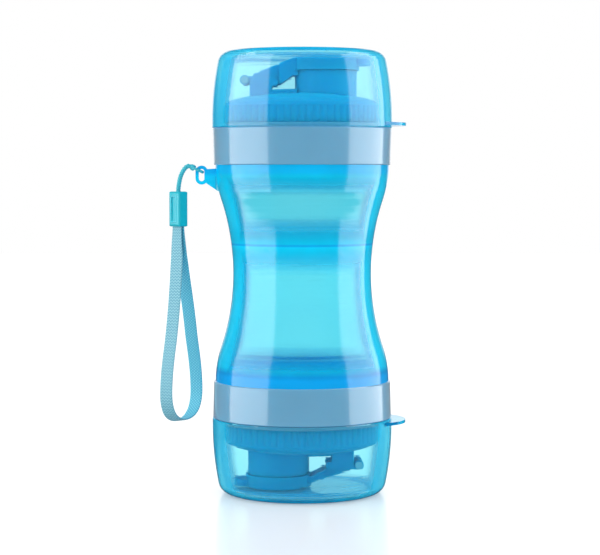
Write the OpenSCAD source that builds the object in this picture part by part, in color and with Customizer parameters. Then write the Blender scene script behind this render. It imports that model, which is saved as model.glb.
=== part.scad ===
// Two-in-one travel bottle for dogs: an hourglass body with a water chamber
// above and a food chamber below. Each end has a collar ring, a ribbed screw
// cap with a spout and a flip lid, and a clear cup that sits on the ring's lip
// and serves as a bowl. A wrist strap hangs on a moulded lug.
// Millimetres, +Z up, origin at the centre of the lower cup's base.

/* [Body] */
// Height of the upper chamber, from the seam to its shoulder
upper_chamber_h = 40.4; // [36:0.2:50]
// Height of the lower chamber, from its shoulder to the seam
lower_chamber_h = 69; // [62:0.5:80]
// Outer radius of the body at its shoulders
shoulder_r = 44; // [43.6:0.1:44.4]
// Outer radius of the body at its waist
waist_r = 35; // [33:0.1:37]
// Share of each side's curve that is the hollow waist arc
waist_share = 0.69; // [0.55:0.01:0.8]
// Wall thickness of the chambers
body_wall = 3; // [2.4:0.1:3.4]
// Thickness of the flat shoulder under each neck
shoulder_t = 2.6; // [2:0.1:3.4]
// Thickness of the floor that parts the two chambers
floor_t = 1.4; // [1.2:0.1:2.4]
// Inside fillet at the upper chamber's floor
floor_fillet = 8; // [4:0.5:9]
// Inside fillet under each shoulder
shoulder_fillet = 5; // [3:0.5:6]
// Height of the ring under the floor that plugs into the lower chamber
seam_plug_h = 3; // [2:0.2:5]
// Thickness of that ring
seam_plug_t = 1.5; // [1:0.1:2]
// Wall thickness of the necks
neck_wall = 2.6; // [2.2:0.1:3]
// Height by which a neck stands past its ring
neck_rise = 4; // [3:0.1:4.4]

/* [Collar rings] */
// Height of a ring
ring_h = 18.5; // [17:0.1:21]
// Outer radius of a ring at the cup
ring_r = 45.3; // [45:0.1:45.5]
// Amount by which a ring narrows towards the body
ring_taper = 0.5; // [0:0.1:0.8]
// Height of the lip that stands inside the cup
ring_lip_h = 2.2; // [1.8:0.1:2.6]
// Thickness of that lip
ring_lip_t = 1.6; // [1.4:0.1:1.8]
// Thickness of the web that sits on the shoulder
ring_web_t = 2; // [1.6:0.1:2.4]
// Gap between a ring's web and the neck
ring_neck_gap = 1; // [0.8:0.1:1.2]

/* [Cups] */
// Height of a cup above its ring
cup_h = 38.8; // [38.4:0.1:44]
// Amount by which a cup stands out past its ring
cup_step = 0.3; // [0.1:0.1:0.8]
// Wall thickness of a cup
cup_wall = 2.7; // [2.3:0.1:3]
// Radius of the long curve of a cup's side
cup_side_r = 150; // [140:5:200]
// Radius of the rounded edge at a cup's closed end
cup_edge_r = 6.3; // [5:0.1:8]
// Height of the straight stretch above the rim
cup_straight_h = 4; // [3:0.5:6]
// Radial clearance of a cup on its ring's lip
cup_fit = 0.1; // [0.05:0.01:0.1]
// Gap between a cup's rim and the ring
cup_rim_gap = 0.15; // [0.1:0.05:0.3]
// Radius of the thumb tab's outline
cup_tab_r = 22.6; // [18:0.2:26]
// Distance that the thumb tab stands out from the rim
cup_tab_reach = 7.1; // [5:0.1:9]
// Thickness of the thumb tab
cup_tab_t = 1.6; // [1.2:0.1:2.2]
// Height of the thumb tab above the ring
cup_tab_z = 1.2; // [0.8:0.1:2]

/* [Screw caps] */
// Distance of a cap's skirt in from the outside of the ring's lip
cap_room = 3.3; // [3.2:0.1:4]
// Wall thickness of a cap's skirt
cap_skirt_t = 2; // [1.8:0.1:2.4]
// Gap between a cap's skirt and the ring's web
cap_web_gap = 0.9; // [0.5:0.1:1.5]
// Wall thickness of the dome
cap_dome_t = 2.2; // [1.8:0.1:2.6]
// Clearance between a cap's skirt and the neck, which the thread fills
cap_thread_gap = 1.4; // [1.2:0.1:1.6]
// Height of the dome's edge above the ring
dome_edge_z = 11; // [10:0.1:11.4]
// Rise of the dome above its edge
dome_rise = 6.8; // [6.2:0.1:7]
// Number of grip ribs round the skirt
rib_count = 72; // [48:4:84]
// Height that the ribs stand out
rib_t = 0.4; // [0.3:0.1:0.6]
// Share of a rib's spacing that its top takes
rib_top_share = 0.32; // [0.2:0.02:0.5]
// Lower end of the ribs above the ring
rib_z = 2.4; // [1:0.2:5]
// Thickness of the sealing gasket in a cap
gasket_t = 1.5; // [1.2:0.1:1.8]
// Clearance of the gasket at the neck and in the cap
gasket_gap = 0.1; // [0.05:0.01:0.2]

/* [Spouts] */
// Distance of the spout from the bottle's axis
spout_x = 12; // [11:0.1:12.6]
// Outer radius of the spout
spout_r = 15.6; // [15.2:0.1:15.8]
// Radius of the spout's bore
spout_bore_r = 12.4; // [11.6:0.1:12.6]
// Height at which the lid's skirt begins
spout_step_z = 28.7; // [28:0.1:29]
// Outer radius of the spout's mouth inside the lid
mouth_r = 14.4; // [14:0.1:14.5]
// Height of the spout's mouth
mouth_z = 32.9; // [32.5:0.1:33]

/* [Flip lids] */
// Outer radius of a lid
lid_r = 16.8; // [16.6:0.1:17.2]
// Thickness of a lid's skirt
lid_wall = 1.5; // [1.3:0.1:1.6]
// Height of a lid's top face
lid_top_z = 35.4; // [35.2:0.1:35.6]
// Thickness of a lid's top
lid_top_t = 1.8; // [1.6:0.1:1.9]
// Radius of the lid's rounded top edge
lid_edge_r = 1.2; // [0.6:0.1:1.4]
// Distance of the tip of the lid's thumb tab in from the cap's edge
lid_tab_inset = 4.7; // [4:0.1:6]
// Half width of the lid's thumb tab, which is also its end radius
lid_tab_r = 7; // [5:0.2:9]
// Thickness of the lid's thumb tab
lid_tab_t = 3.5; // [2:0.1:3.8]
// Distance of the thumb tab below the lid's top
lid_tab_drop = 0.5; // [0.4:0.1:1.4]
// Distance of the hinge pin in from the cap's edge
hinge_inset = 10.8; // [10.4:0.1:11.6]
// Height of the hinge pin above the ring
hinge_z = 24; // [23.6:0.1:24.6]
// Radius of the hinge knuckles
knuckle_r = 2.4; // [2.3:0.1:2.6]
// Radius of the hinge pin
pin_r = 1.2; // [1:0.1:1.4]
// Radial clearance of the hinge pin
pin_fit = 0.05; // [0.03:0.01:0.08]
// Half width of the lid's arm between the hinge ears
arm_half = 5.1; // [4.6:0.1:5.4]
// Half width of the lid's arm at the lid
arm_root_half = 8; // [7:0.1:8.4]
// Distance from the hinge pin to where the arm widens
arm_run = 17.4; // [17.2:0.1:18]
// Height of the upper arm's underside at the lid
upper_arm_under_z = 26.2; // [25.6:0.1:28]
// Height of the lower arm's underside at the lid
lower_arm_under_z = 29.6; // [26:0.1:30]
// Height of the upper arm's underside where it widens
upper_arm_bend_z = 21.8; // [21.6:0.1:24]
// Height of the lower arm's underside where it widens
lower_arm_bend_z = 26.4; // [22:0.1:26.6]
// Distance of the upper arm's top edge below the lid's top
upper_arm_drop = 0.4; // [0.2:0.1:1]
// Distance of the lower arm's top edge below the lid's top
lower_arm_drop = 2.6; // [0.2:0.1:2.8]
// Thickness of each hinge ear
ear_t = 2.8; // [2.2:0.1:3.2]
// Distance from the hinge pin to the middle of each ear's rounded end
ear_run = 15; // [14:0.1:15.2]
// Radius of each ear's rounded end
ear_end_r = 1.8; // [1.4:0.1:2]
// Distance of the upper ears' rounded ends below the hinge pin
upper_ear_drop = 1.2; // [0:0.1:1.4]
// Distance of the lower ears' rounded ends below the hinge pin
lower_ear_drop = 0; // [0:0.1:1.4]
// Height of the low web that joins each ear to the spout
ear_web_z = 19.6; // [18:0.1:20]
// Side clearance between the arm and an ear
ear_gap = 0.3; // [0.2:0.05:0.5]
// Outer radius of the sealing plug at the mouth
plug_r = 12.15; // [11.4:0.05:12.2]
// Depth of the sealing plug in the mouth
plug_h = 2.5; // [1.5:0.1:3]
// Amount by which the plug narrows to its tip
plug_taper = 0.8; // [0.7:0.1:1.2]
// Wall thickness of the sealing plug
plug_wall = 2; // [1.5:0.1:3]

/* [Strap lug] */
// Distance of the eyelet's centre from the bottle's axis
eye_x = 50.9; // [50:0.1:52]
// Outer width of the eyelet
eye_w = 6.2; // [5.8:0.1:6.6]
// Outer height of the eyelet
eye_h = 9.6; // [9:0.1:10.4]
// Width of the eyelet's slot
eye_slot_w = 2.8; // [2.6:0.1:3]
// Thickness of the eyelet
eye_t = 3; // [2.6:0.1:3.2]
// Thickness of the gusset that carries the eyelet
lug_t = 4; // [3:0.2:6]
// Distance of the eyelet's top below the ring
lug_drop = 0.3; // [0.2:0.1:1]
// Distance of the gusset's top edge below the eyelet's top
lug_step = 1.4; // [1:0.1:2]
// Width of the bar between the eyelet's slot and the gusset
lug_bar = 0.8; // [0.6:0.1:1.2]
// Distance that the gusset's foot reaches below the eyelet
lug_foot = 3.4; // [2:0.2:5]

/* [Wrist strap] */
// Diameter of the round cord
cord_d = 2.2; // [1.8:0.1:2.3]
// Diameter of the thin loop through the eyelet
loop_cord_d = 1.4; // [1.2:0.1:1.5]
// Radius of the thin loop at the middle of its cord
loop_r = 2.75; // [2.7:0.05:2.9]
// Half of the loop's opening at the knot, in degrees
loop_gap_deg = 42; // [40:1:50]
// Radius of the knot
knot_r = 1.6; // [1.4:0.1:1.6]
// Width of the clamp
clamp_w = 9; // [8.6:0.1:10]
// Thickness of the clamp
clamp_t = 6; // [5.4:0.1:6.6]
// Height of the clamp
clamp_h = 17.8; // [16:0.1:20]
// Rounding of the clamp's edges
clamp_edge_r = 1.3; // [0.6:0.1:1.5]
// Depth of the pocket that holds the webbing's ends
clamp_pocket_h = 10; // [9:0.5:12]
// Rim round the recess on the clamp's front
clamp_rim = 2.5; // [2:0.1:3]
// Width of the webbing
webbing_w = 7.4; // [6.4:0.1:7.6]
// Thickness of the webbing
webbing_t = 1.1; // [0.8:0.1:1.2]

/* [Hidden] */
eps = 0.01;
// Length by which a cut runs past its solid
over = 1;

// Smoothness of the revolved outlines, in edges for each curve
body_steps = 12;
side_steps = 8;
round_steps = 6;

// Levels along the bottle
body_half_h = (upper_chamber_h + lower_chamber_h) / 2;
mid_z = cup_h + ring_h + body_half_h;
seam_u = lower_chamber_h - body_half_h;
top_face_z = mid_z + body_half_h + ring_h;

// The side is an S of two arcs that are upright at the waist and the shoulder
side_angle = 2 * atan((shoulder_r - waist_r) / body_half_h);
side_arc_sum = body_half_h / sin(side_angle);
waist_arc_r = side_arc_sum * waist_share;
shoulder_arc_r = side_arc_sum - waist_arc_r;
waist_arc_h = waist_arc_r * sin(side_angle);

// Small rounding of moulded edges
edge = 0.4;

// From the cup inwards: the ring's lip, the cap's skirt and the neck
cup_r = ring_r + cup_step;
lip_r = cup_r - cup_wall - cup_fit;
ring_in_r = lip_r - ring_lip_t;
cap_r = lip_r - cap_room;
cap_in_r = cap_r - cap_skirt_t;
neck_r = cap_in_r - cap_thread_gap;
neck_in_r = neck_r - neck_wall;
ring_hole_r = neck_r + ring_neck_gap;
fillet_r = min(shoulder_fillet, shoulder_r - body_wall - neck_in_r - edge);

// Seam: the upper chamber's ring plugs into the lower chamber
seam_fit = 0.1;
seam_plug_r = min(body_r(seam_u), body_r(seam_u - seam_plug_h)) - body_wall - seam_fit;

// Cups
side_centre_r = cup_r - cup_side_r;
edge_centre_z = cup_h - cup_edge_r;
edge_centre_r = side_centre_r + sqrt(pow(cup_side_r - cup_edge_r, 2) - pow(edge_centre_z - cup_straight_h, 2));
side_sweep = atan((edge_centre_z - cup_straight_h) / (edge_centre_r - side_centre_r));

// Caps
cap_low_z = -ring_h + ring_web_t + cap_web_gap;
ledge_z = neck_rise + gasket_t + 2 * gasket_gap;
dome_in_r = neck_in_r - edge;
dome_in_rise = dome_rise - cap_dome_t;
spout_sink = 4;
spout_foot_z = dome_edge_z + dome_rise - spout_sink;
// Feet of the ears, within the dome's wall
ear_foot_z = dome_edge_z + 0.6 * dome_rise;
hinge_x = cap_r - hinge_inset;
lid_tab_x = cap_r - lid_tab_inset;
lid_gap = 0.2;
lid_base_z = spout_step_z + lid_gap;
lid_in_r = lid_r - lid_wall;
// Step in an arm's top edge beside the knuckle: its distance from the pin and its height
arm_step = [4, 1.2];
ear_in = arm_half + ear_gap;
ear_out = ear_in + ear_t;
ear_inset = 2.5;
pin_head_t = 0.8;
pin_head_r = pin_r + 0.7;

// Strap: the loop leaves the slot through the upper left corner of the eyelet
eye_end_r = eye_w / 2;
eye_slot_r = eye_slot_w / 2;
eye_top_z = mid_z + body_half_h - lug_drop;
eye_end = [-eye_x, 0, eye_top_z - eye_end_r];
loop_tilt = 25;
loop_dir = [-cos(loop_tilt), 0, sin(loop_tilt)];
loop_centre = eye_end + (eye_end_r + eye_slot_r) / 2 * loop_dir;
knot_centre = loop_centre + loop_r * loop_dir;
strap_x = -62.8;
clamp_yaw = 50;
loop_yaw = 30;
clamp_top_z = 153.3;
clamp_low_z = clamp_top_z - clamp_h;
twist_h = 20;
loop_shift = 1.3;
shift_h = 50;
webbing_tilt = 9;
clamp_fit = 0.15;
// Cord route: from the knot over the bend and down into the clamp
cord_route = [
    [-57.1, 0, 166.2], [-58, 0, 166.1], [-58.9, 0, 165.5], [-59.8, 0, 164.5], [-60.7, 0, 163], [-61.5, 0, 161.2],
    [-62.1, 0, 159], [-62.5, 0, 156.8], [-62.75, 0, 154.8], [-62.8, 0, 152.5], [-62.8, 0, 148]
];
// Webbing route: spread from the middle and height, from the front strand's
// end in the clamp down to the bottom of the loop; the back strand mirrors it
webbing_half = [
    [-0.7, 143], [-0.7, 138], [-0.8, 134.5], [-1.2, 128], [-1.8, 121], [-3.2, 112.5], [-4.7, 104], [-6.3, 95.5],
    [-7.9, 87], [-9.5, 78.5], [-11.5, 70], [-13.1, 61.5], [-13.9, 53], [-13.5, 47], [-11.4, 42], [-8, 38.9],
    [-4, 37.4]
];
webbing_route = concat(
    webbing_half,
    [[0, 37]],
    [for (q = reversed(webbing_half)) [-q[0], q[1]]]
);

// Cross-section of the webbing, in shares of its width and its thickness
webbing_section = [
    [-0.5, -0.3], [-0.46, -0.5], [0.46, -0.5], [0.5, -0.3], [0.5, 0.3], [0.46, 0.5], [-0.46, 0.5], [-0.5, 0.3]
];

// Points along an arc, in degrees, about a centre
function arc(centre, r, from, to, steps) =
    [for (i = [0:steps]) let (a = from + (to - from) * i / steps) centre + r * [cos(a), sin(a)]];

// Outer radius of the body at a distance u from its middle
function body_r(u) = abs(u) < waist_arc_h
    ? waist_r + waist_arc_r - sqrt(pow(waist_arc_r, 2) - pow(u, 2))
    : shoulder_r - shoulder_arc_r + sqrt(pow(shoulder_arc_r, 2) - pow(body_half_h - abs(u), 2));

// Points of the body's side, moved in by a wall, from u = from to u = to
function side(from, to, wall, steps) =
    [for (i = [0:steps]) let (u = from + (to - from) * i / steps) [body_r(u) - wall, u]];

// Shoulder and neck at the end of a chamber, from its outside to its inside
function neck_points() = let (
        neck_z = body_half_h + ring_h + neck_rise,
        under_z = body_half_h - shoulder_t,
        fillet_z = under_z - fillet_r,
        fillet_x = body_r(fillet_z) - body_wall - fillet_r
    ) concat(
        [[neck_r, body_half_h], [neck_r, neck_z - edge], [neck_r - edge, neck_z]],
        [[neck_in_r, neck_z], [neck_in_r, under_z]],
        arc([fillet_x, fillet_z], fillet_r, 90, 0, round_steps)
    );

function inside_top() = body_half_h - shoulder_t - fillet_r;

// Long side and rounded edge of a cup, moved in by a wall
function cup_points(wall) = concat(
    arc([side_centre_r, cup_straight_h], cup_side_r - wall, 0, side_sweep, side_steps),
    arc([edge_centre_r, edge_centre_z], cup_edge_r - wall, side_sweep, 90, round_steps)
);

// Dome curve from its edge to the axis
function dome_points(r, z, rise, steps) =
    [for (i = [0:steps]) let (a = 90 * i / steps) [r * cos(a), z + rise * sin(a)]];

function reversed(points) = [for (i = [len(points) - 1:-1:0]) points[i]];

function unit(v) = v / norm(v);

// Direction of the route at its point i
function heading(route, i) = unit(route[min(i + 1, len(route) - 1)] - route[max(i - 1, 0)]);

// Share, eased from 0 at the clamp to 1 at a depth below it
function eased(z, depth) = let (t = max(0, min(1, (clamp_low_z - z) / depth))) t * t * (3 - 2 * t);

// Yaw of the strap at a height: it eases from the clamp's to the loop's
function yaw_at(z) = clamp_yaw + (loop_yaw - clamp_yaw) * eased(z, twist_h);

function spread_dir(z) = [sin(yaw_at(z)), cos(yaw_at(z)), 0];

function width_dir(z) = let (tilt = webbing_tilt * eased(z, twist_h))
    [cos(yaw_at(z)) * cos(tilt), -sin(yaw_at(z)) * cos(tilt), sin(tilt)];

module place_upper() {
    translate([0, 0, top_face_z])
        children();
}

// The lower cap is the upper one turned half round about Y
module place_lower() {
    translate([0, 0, cup_h])
        rotate([0, 180, 0])
            children();
}

module mirror_lower() {
    translate([0, 0, cup_h])
        mirror([0, 0, 1])
            children();
}

// A closed tube through rings of points
module skin(rings) {
    n = len(rings[0]);
    last = len(rings) - 1;
    polyhedron(
        points = [for (ring = rings) for (p = ring) p],
        faces = concat(
            [[for (k = [0:n - 1]) k]],
            [for (i = [0:last - 1]) for (k = [0:n - 1])
                [i * n + k, (i + 1) * n + k, (i + 1) * n + (k + 1) % n]],
            [for (i = [0:last - 1]) for (k = [0:n - 1])
                [i * n + k, (i + 1) * n + (k + 1) % n, i * n + (k + 1) % n]],
            [[for (k = [n - 1:-1:0]) last * n + k]]
        )
    );
}

module chamber_upper() {
    fillet_u = seam_u + floor_t + floor_fillet;
    fillet_x = body_r(fillet_u) - body_wall - floor_fillet;
    plug_x = seam_plug_r - seam_plug_t;
    color([0.1, 0.75, 0.9, 0.6])
        difference() {
            union() {
                translate([0, 0, mid_z])
                    rotate_extrude($fn = 96)
                        polygon(concat(
                            side(seam_u, body_half_h, 0, body_steps),
                            neck_points(),
                            side(inside_top(), fillet_u, body_wall, body_steps),
                            arc([fillet_x, fillet_u], floor_fillet, 0, -90, round_steps),
                            [[0, seam_u + floor_t], [0, seam_u]],
                            [[plug_x, seam_u], [plug_x, seam_u - seam_plug_h]],
                            [[seam_plug_r, seam_u - seam_plug_h], [seam_plug_r, seam_u]]
                        ));
                strap_lug();
            }
            upright_plate(2 * lug_t)
                eyelet(eye_slot_r);
        }
}

// A flat outline in the XZ plane, made thick both ways along Y
module upright_plate(thickness) {
    translate([0, thickness / 2, 0])
        rotate([90, 0, 0])
            linear_extrude(thickness)
                children();
}

// Gusset and eyelet of the strap
module strap_lug() {
    root_x = -shoulder_r + body_wall / 2;
    bar_x = -eye_x + eye_slot_r + lug_bar;
    top_z = eye_top_z - lug_step;
    foot_z = eye_top_z - eye_h - lug_foot;
    upright_plate(lug_t)
        polygon([
            [root_x, top_z], [bar_x, top_z - edge], [bar_x, eye_top_z - eye_h + lug_bar],
            [root_x, foot_z], [root_x + body_wall / 2, foot_z], [root_x + body_wall / 2, top_z]
        ]);
    upright_plate(eye_t)
        eyelet(eye_end_r);
}

// Upright rounded outline of the eyelet or its slot
module eyelet(r) {
    low_z = eye_top_z - eye_h + eye_end_r;
    for (z = [eye_end[2], low_z])
        translate([-eye_x, z])
            circle(r, $fn = 48);
    translate([-eye_x - r, low_z])
        square([2 * r, eye_end[2] - low_z]);
}

module chamber_lower() {
    color([0.1, 0.75, 0.9, 0.6])
        translate([0, 0, mid_z])
            mirror([0, 0, 1])
                rotate_extrude($fn = 96)
                    polygon(concat(
                        side(-seam_u, body_half_h, 0, 2 * body_steps),
                        neck_points(),
                        side(inside_top(), -seam_u, body_wall, 2 * body_steps)
                    ));
}

module collar_ring() {
    low_r = ring_r - ring_taper;
    web_z = -ring_h + ring_web_t;
    color([0.6, 0.77, 0.88])
        rotate_extrude($fn = 96)
            polygon([
                [ring_hole_r, -ring_h], [low_r - edge, -ring_h], [low_r, -ring_h + edge],
                [ring_r, -edge], [ring_r - edge, 0], [lip_r, 0], [lip_r, ring_lip_h - edge],
                [lip_r - edge, ring_lip_h], [ring_in_r, ring_lip_h], [ring_in_r, web_z], [ring_hole_r, web_z]
            ]);
}

module cup() {
    color([0.35, 0.85, 0.95, 0.5]) {
        rotate_extrude($fn = 96)
            polygon(concat(
                [[cup_r - cup_wall, cup_rim_gap], [cup_r - edge, cup_rim_gap], [cup_r, cup_rim_gap + edge]],
                cup_points(0),
                [[0, cup_h], [0, cup_h - cup_wall]],
                reversed(cup_points(cup_wall))
            ));
        thumb_tab();
    }
}

// Crescent that stands out from a cup's rim
module thumb_tab() {
    difference() {
        translate([cup_r + cup_tab_reach - cup_tab_r, 0, cup_tab_z])
            cylinder(h = cup_tab_t, r = cup_tab_r, $fn = 96);
        translate([0, 0, cup_tab_z - eps])
            cylinder(h = cup_tab_t + 2 * eps, r = cup_r - cup_wall / 2, $fn = 96);
    }
}

// Ring of vertical grip ribs with sloping flanks
module grip_ribs() {
    step = 360 / rib_count;
    profile = [[-0.5, -eps], [-rib_top_share / 2, rib_t], [rib_top_share / 2, rib_t]];
    translate([0, 0, rib_z])
        linear_extrude(dome_edge_z - rib_z - edge)
            difference() {
                polygon([for (i = [0:rib_count - 1]) for (q = profile)
                    let (a = (i + q[0]) * step) (cap_r + q[1]) * [cos(a), sin(a)]]);
                circle(cap_r - edge, $fn = 96);
            }
}

// Two upright ears that carry the hinge pin, each with a low web to the spout
module hinge_ears(drop) {
    left_x = -hinge_x + ear_inset;
    end_x = -hinge_x + ear_run;
    end_z = hinge_z - drop;
    spout_left = spout_x - mouth_r;
    for (y = [-1, 1])
        translate([0, y * (ear_in + ear_t / 2), 0])
            upright_plate(ear_t) {
                polygon([
                    [left_x, ear_foot_z], [spout_left, ear_foot_z], [spout_left, ear_web_z],
                    [end_x - ear_end_r, ear_web_z - edge], [end_x, end_z + ear_end_r],
                    [-hinge_x, hinge_z + knuckle_r - edge], [left_x, hinge_z]
                ]);
                translate([end_x, end_z])
                    circle(ear_end_r, $fn = 48);
                knuckle();
            }
}

module knuckle() {
    translate([-hinge_x, hinge_z])
        circle(knuckle_r, $fn = 48);
}

module screw_cap(drop) {
    color([0.02, 0.6, 0.82])
        difference() {
            union() {
                rotate_extrude($fn = 96)
                    polygon(concat(
                        [[cap_in_r, cap_low_z], [cap_r, cap_low_z]],
                        dome_points(cap_r, dome_edge_z, dome_rise, side_steps),
                        reversed(dome_points(dome_in_r, dome_edge_z, dome_in_rise, side_steps)),
                        [[dome_in_r, ledge_z], [cap_in_r, ledge_z]]
                    ));
                grip_ribs();
                translate([spout_x, 0, spout_foot_z]) {
                    cylinder(h = spout_step_z - spout_foot_z, r = spout_r, $fn = 96);
                    cylinder(h = mouth_z - spout_foot_z, r = mouth_r, $fn = 96);
                }
                hinge_ears(drop);
            }
            translate([spout_x, 0, 0])
                cylinder(h = mouth_z + over, r = spout_bore_r, $fn = 96);
            pin_bore();
        }
}

module pin_bore() {
    translate([-hinge_x, ear_out + over, hinge_z])
        rotate([90, 0, 0])
            cylinder(h = 2 * (ear_out + over), r = pin_r + pin_fit, $fn = 48);
}

module hinge_pin() {
    color([0.8, 0.82, 0.84])
        translate([-hinge_x, ear_out, hinge_z])
            rotate([90, 0, 0]) {
                cylinder(h = 2 * ear_out, r = pin_r, $fn = 48);
                translate([0, 0, 2 * ear_out])
                    cylinder(h = pin_head_t, r = pin_head_r, $fn = 48);
            }
}

module cap_gasket() {
    color([0.9, 0.93, 0.95])
        translate([0, 0, neck_rise + gasket_gap])
            difference() {
                cylinder(h = gasket_t, r = cap_in_r - gasket_gap, $fn = 96);
                translate([0, 0, -over])
                    cylinder(h = gasket_t + 2 * over, r = neck_in_r, $fn = 96);
            }
}

// Arm outline from the knuckle to the lid, in the XZ plane
module arm_outline(from_x, bend_z, under_z, top_z) {
    lid_left = spout_x - lid_r;
    in_lid = lid_left + 2 * lid_wall;
    end_r = knuckle_r - edge;
    intersection() {
        polygon([
            [-hinge_x, hinge_z + end_r], [-hinge_x + arm_step[0], hinge_z + end_r],
            [-hinge_x + arm_step[0] + edge, hinge_z + end_r + arm_step[1]], [lid_left + edge, top_z],
            [in_lid, top_z], [in_lid, under_z], [lid_left, under_z],
            [-hinge_x + arm_run, bend_z], [-hinge_x, hinge_z - end_r]
        ]);
        translate([from_x, 0])
            square([hinge_x + spout_x, lid_top_z]);
    }
}

// Outline of the lid's thumb tab, seen from above
module lid_tab() {
    end_x = lid_tab_x - lid_tab_r;
    translate([end_x, 0])
        circle(lid_tab_r, $fn = 64);
    translate([spout_x, -lid_tab_r])
        square([end_x - spout_x, 2 * lid_tab_r]);
}

module flip_lid(bend_z, under_z, top_z) {
    color([0.02, 0.6, 0.84])
        difference() {
            union() {
                translate([spout_x, 0, 0])
                    rotate_extrude($fn = 96)
                        polygon(concat(
                            [[0, lid_base_z], [lid_r, lid_base_z]],
                            arc([lid_r - lid_edge_r, lid_top_z - lid_edge_r], lid_edge_r, 0, 90, round_steps),
                            [[0, lid_top_z]]
                        ));
                upright_plate(2 * arm_half) {
                    arm_outline(-hinge_x, bend_z, under_z, top_z);
                    knuckle();
                }
                upright_plate(2 * arm_root_half)
                    arm_outline(arm_run - hinge_x, bend_z, under_z, top_z);
                translate([0, 0, lid_top_z - lid_tab_drop - lid_tab_t])
                    linear_extrude(lid_tab_t)
                        lid_tab();
            }
            translate([spout_x, 0, spout_foot_z])
                cylinder(h = lid_top_z - lid_top_t - spout_foot_z, r = lid_in_r, $fn = 96);
            translate([spout_x, 0, spout_foot_z])
                cylinder(h = lid_base_z - spout_foot_z, r = spout_r + lid_gap, $fn = 96);
            pin_bore();
        }
}

module lid_seal() {
    top_z = lid_top_z - lid_top_t;
    under_z = mouth_z + gasket_gap;
    tip_z = mouth_z - plug_h;
    tip_r = plug_r - plug_taper;
    color([0.9, 0.93, 0.95])
        translate([spout_x, 0, 0])
            rotate_extrude($fn = 96)
                polygon([
                    [0, top_z], [lid_in_r - gasket_gap, top_z], [lid_in_r - gasket_gap, under_z], [plug_r, under_z],
                    [tip_r, tip_z], [tip_r - plug_wall, tip_z], [plug_r - plug_wall, under_z], [0, under_z]
                ]);
}

module strap_loop() {
    color([0.45, 0.8, 0.86])
        translate(loop_centre)
            rotate([0, loop_tilt, 0])
                rotate([0, 0, loop_gap_deg - 180])
                    rotate_extrude(angle = 360 - 2 * loop_gap_deg, $fn = 64)
                        translate([loop_r, 0])
                            circle(loop_cord_d / 2, $fn = 24);
}

module strap_knot() {
    color([0.6, 0.88, 0.93])
        translate(knot_centre)
            sphere(knot_r, $fn = 32);
}

module strap_cord() {
    color([0.4, 0.76, 0.83])
        skin([for (i = [0:len(cord_route) - 1])
            let (t = heading(cord_route, i), side = [0, 1, 0], up = cross(t, side))
            [for (k = [0:7]) cord_route[i] + cord_d / 2 * (cos(45 * k) * side + sin(45 * k) * up)]]);
}

module strap_webbing() {
    route = [for (q = webbing_route)
        [strap_x + loop_shift * eased(q[1], shift_h), 0, q[1]] + q[0] * spread_dir(q[1])];
    color([0.5, 0.82, 0.88])
        skin([for (i = [0:len(route) - 1])
            let (w = width_dir(route[i][2]), out = unit(cross(heading(route, i), w)))
            [for (k = webbing_section) route[i] + k[0] * webbing_w * w - k[1] * webbing_t * out]]);
}

// Rounded block of the clamp with its upright edges along Z
module clamp_block() {
    intersection() {
        linear_extrude(clamp_h)
            rounded(clamp_w, clamp_t);
        translate([0, clamp_t / 2, clamp_h / 2])
            rotate([90, 0, 0])
                linear_extrude(clamp_t)
                    rounded(clamp_w, clamp_h);
        translate([-clamp_w / 2, 0, clamp_h / 2])
            rotate([90, 0, 90])
                linear_extrude(clamp_w)
                    rounded(clamp_t, clamp_h);
    }
}

module rounded(w, h) {
    square([w - 2 * clamp_edge_r, h], center = true);
    square([w, h - 2 * clamp_edge_r], center = true);
    for (x = [-1, 1], y = [-1, 1])
        translate([x * (w / 2 - clamp_edge_r), y * (h / 2 - clamp_edge_r)])
            circle(clamp_edge_r, $fn = 32);
}

// Half of the clamp: side -1 is the front shell, side 1 the back one
module clamp_shell(side) {
    pocket_w = webbing_w + 2 * clamp_fit;
    pocket_t = 2 * webbing_t + 4 * clamp_fit;
    translate([strap_x, 0, clamp_low_z])
        rotate([0, 0, -clamp_yaw])
            difference() {
                clamp_block();
                translate([-clamp_w, side > 0 ? -clamp_t : 0, -over])
                    cube([2 * clamp_w, clamp_t, clamp_h + 2 * over]);
                translate([-pocket_w / 2, -pocket_t / 2, -over])
                    cube([pocket_w, pocket_t, clamp_pocket_h + over]);
                translate([0, 0, clamp_pocket_h - eps])
                    cylinder(h = clamp_h, r = cord_d / 2 + clamp_fit, $fn = 32);
                if (side < 0)
                    translate([clamp_rim - clamp_w / 2, -clamp_t / 2 - over, clamp_rim])
                        cube([clamp_w - 2 * clamp_rim, over + edge, clamp_h - 2 * clamp_rim]);
            }
}

module strap_clamp_front() {
    color([0.4, 0.86, 0.9])
        clamp_shell(-1);
}

module strap_clamp_back() {
    color([0.1, 0.7, 0.8])
        clamp_shell(1);
}

mirror_lower() cup();  // lower_cup
mirror_lower() collar_ring();  // lower_ring
place_lower() screw_cap(lower_ear_drop);  // lower_cap
place_lower() cap_gasket();  // lower_gasket
place_lower() flip_lid(lower_arm_bend_z, lower_arm_under_z, lid_top_z - lower_arm_drop);  // lower_lid
place_lower() lid_seal();  // lower_lid_seal
place_lower() hinge_pin();  // lower_hinge_pin
chamber_lower();  // lower_chamber
chamber_upper();  // upper_chamber
place_upper() collar_ring();  // upper_ring
place_upper() screw_cap(upper_ear_drop);  // upper_cap
place_upper() cap_gasket();  // upper_gasket
place_upper() flip_lid(upper_arm_bend_z, upper_arm_under_z, lid_top_z - upper_arm_drop);  // upper_lid
place_upper() lid_seal();  // upper_lid_seal
place_upper() hinge_pin();  // upper_hinge_pin
place_upper() cup();  // upper_cup
strap_loop();
strap_knot();
strap_cord();
strap_clamp_front();
strap_clamp_back();
strap_webbing();
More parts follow.
